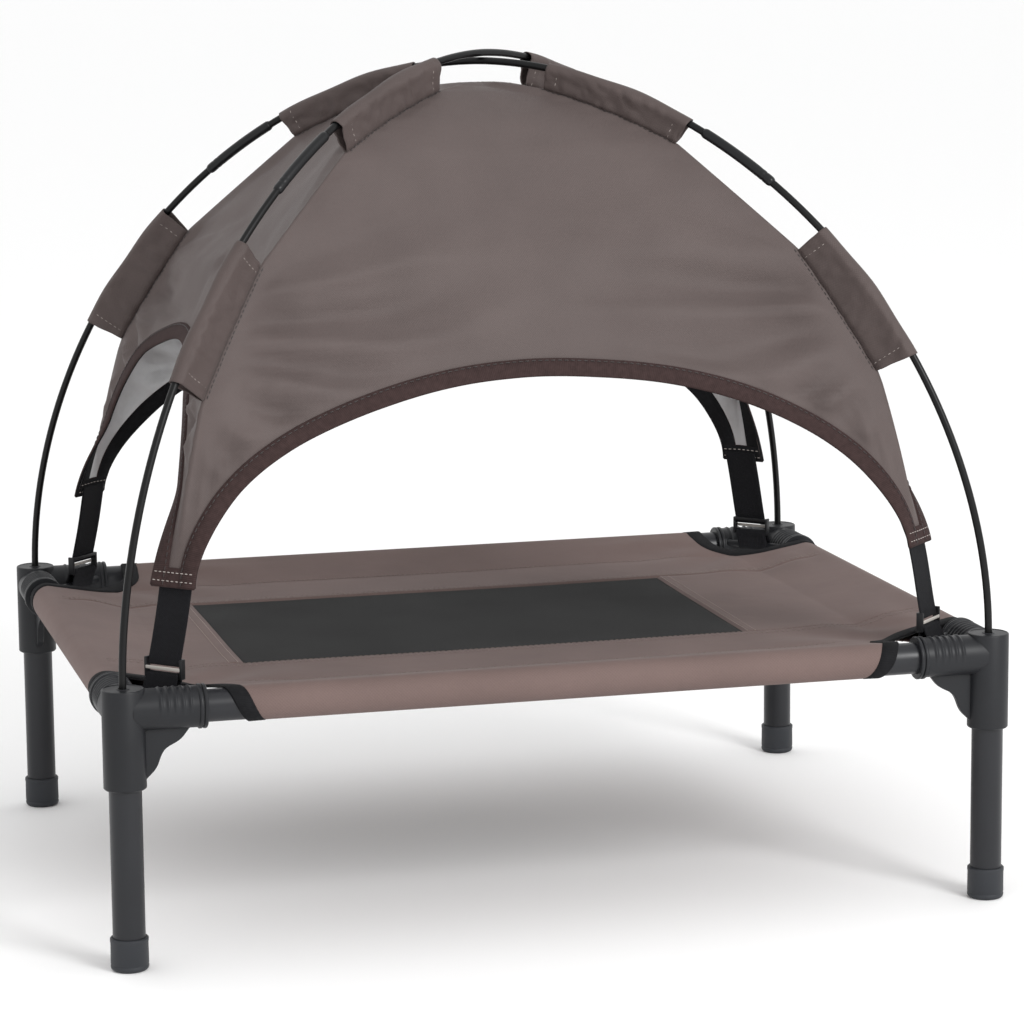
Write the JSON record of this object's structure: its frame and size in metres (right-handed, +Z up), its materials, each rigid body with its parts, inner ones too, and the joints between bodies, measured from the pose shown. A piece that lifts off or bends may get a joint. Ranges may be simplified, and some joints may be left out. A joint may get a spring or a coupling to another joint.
{
  "type": "raised pet bed with canopy",
  "caption": "Raised cot-style pet bed with a mesh window in its sheet, on a tubular steel frame, shaded by a domed fabric canopy on crossed bent poles.",
  "frame": {"origin": "on the floor, under the middle of the bed", "axes": "+X along the bed's long side, to the right seen from the front; the front is -Y; +Z up"},
  "size_m": [0.6106, 0.4626, 0.567],
  "materials": {
    "fitting_plastic": "moulded, satin",
    "foot_plastic": "moulded, matte",
    "buckle_plastic": "moulded, satin",
    "painted_steel": "powder coated, semi-gloss",
    "sheet_cloth": "plain woven polyester",
    "mesh_net": "woven mesh",
    "black_tape": "folded binding tape",
    "fibreglass_rod": "pultruded fibreglass, satin",
    "canopy_cloth": "plain woven polyester, silver coated inside",
    "sleeve_cloth": "plain woven polyester",
    "brown_tape": "folded binding tape",
    "webbing": "flat woven webbing"
  },
  "bodies": {
    "bed": {"corner_fitting_front_left": "fitting_plastic", "foot_front_left": "foot_plastic", "leg_front_left": "painted_steel", "notch_tape_front_left": "black_tape", "strap_loop_front_left": "webbing", "buckle_front_left": "buckle_plastic", "corner_fitting_front_right": "fitting_plastic", "foot_front_right": "foot_plastic", "leg_front_right": "painted_steel", "notch_tape_front_right": "black_tape", "strap_loop_front_right": "webbing", "buckle_front_right": "buckle_plastic", "corner_fitting_back_left": "fitting_plastic", "foot_back_left": "foot_plastic", "leg_back_left": "painted_steel", "notch_tape_back_left": "black_tape", "strap_loop_back_left": "webbing", "buckle_back_left": "buckle_plastic", "corner_fitting_back_right": "fitting_plastic", "foot_back_right": "foot_plastic", "leg_back_right": "painted_steel", "notch_tape_back_right": "black_tape", "strap_loop_back_right": "webbing", "buckle_back_right": "buckle_plastic", "rail_front": "painted_steel", "rail_back": "painted_steel", "rail_left": "painted_steel", "rail_right": "painted_steel", "sheet_front_strip": "sheet_cloth", "sheet_back_strip": "sheet_cloth", "sheet_left_panel": "sheet_cloth", "sheet_right_panel": "sheet_cloth", "mesh_window": "mesh_net"},
    "canopy": {"upper_pole_lower_front_left": "fibreglass_rod", "upper_pole_lower_back_right": "fibreglass_rod", "upper_pole_middle": "fibreglass_rod", "lower_pole_lower_front_right": "fibreglass_rod", "lower_pole_lower_back_left": "fibreglass_rod", "lower_pole_middle": "fibreglass_rod", "canopy_panel_front": "canopy_cloth", "arch_binding_front": "brown_tape", "canopy_panel_back": "canopy_cloth", "arch_binding_back": "brown_tape", "canopy_panel_left": "canopy_cloth", "arch_binding_left": "brown_tape", "canopy_panel_right": "canopy_cloth", "arch_binding_right": "brown_tape", "pole_sleeve_lower_front_left": "sleeve_cloth", "pole_sleeve_upper_front_left": "sleeve_cloth", "strap_front_left": "webbing", "pole_sleeve_lower_front_right": "sleeve_cloth", "pole_sleeve_upper_front_right": "sleeve_cloth", "strap_front_right": "webbing", "pole_sleeve_lower_back_left": "sleeve_cloth", "pole_sleeve_upper_back_left": "sleeve_cloth", "strap_back_left": "webbing", "pole_sleeve_lower_back_right": "sleeve_cloth", "pole_sleeve_upper_back_right": "sleeve_cloth", "strap_back_right": "webbing"}
  },
  "joints": [
    {"name": "canopy_lift", "type": "slide", "parent": "bed", "child": "canopy", "axis": [0, 0, 1], "range_m": [0, 0.1]}
  ]
}
